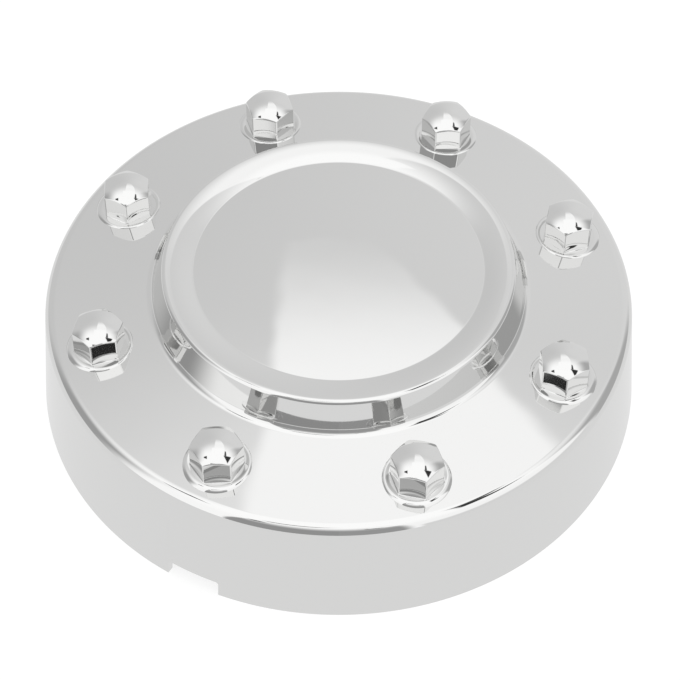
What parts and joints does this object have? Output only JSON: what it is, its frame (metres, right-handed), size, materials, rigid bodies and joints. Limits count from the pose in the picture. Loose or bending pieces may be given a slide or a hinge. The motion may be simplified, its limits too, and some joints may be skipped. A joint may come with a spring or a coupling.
{
  "type": "wheel center cap",
  "caption": "Chromed bell-shaped center cap for a dual-wheel truck hub: drafted skirt, gently sloping deck with domed nut covers, raised dished hub cover; snaps over hub and studs.",
  "frame": {"origin": "centre of the rim circle, on the plane that the rim stands on", "axes": "+Z out of the wheel along the wheel's axis; the notch in the rim and one nut cover lie on -Y"},
  "size_m": [0.2484, 0.2479, 0.0666],
  "materials": {
    "chrome": "mirror chrome plating over a plastic moulding"
  },
  "bodies": {
    "root": {"center_cap": "chrome"}
  },
  "joints": []
}
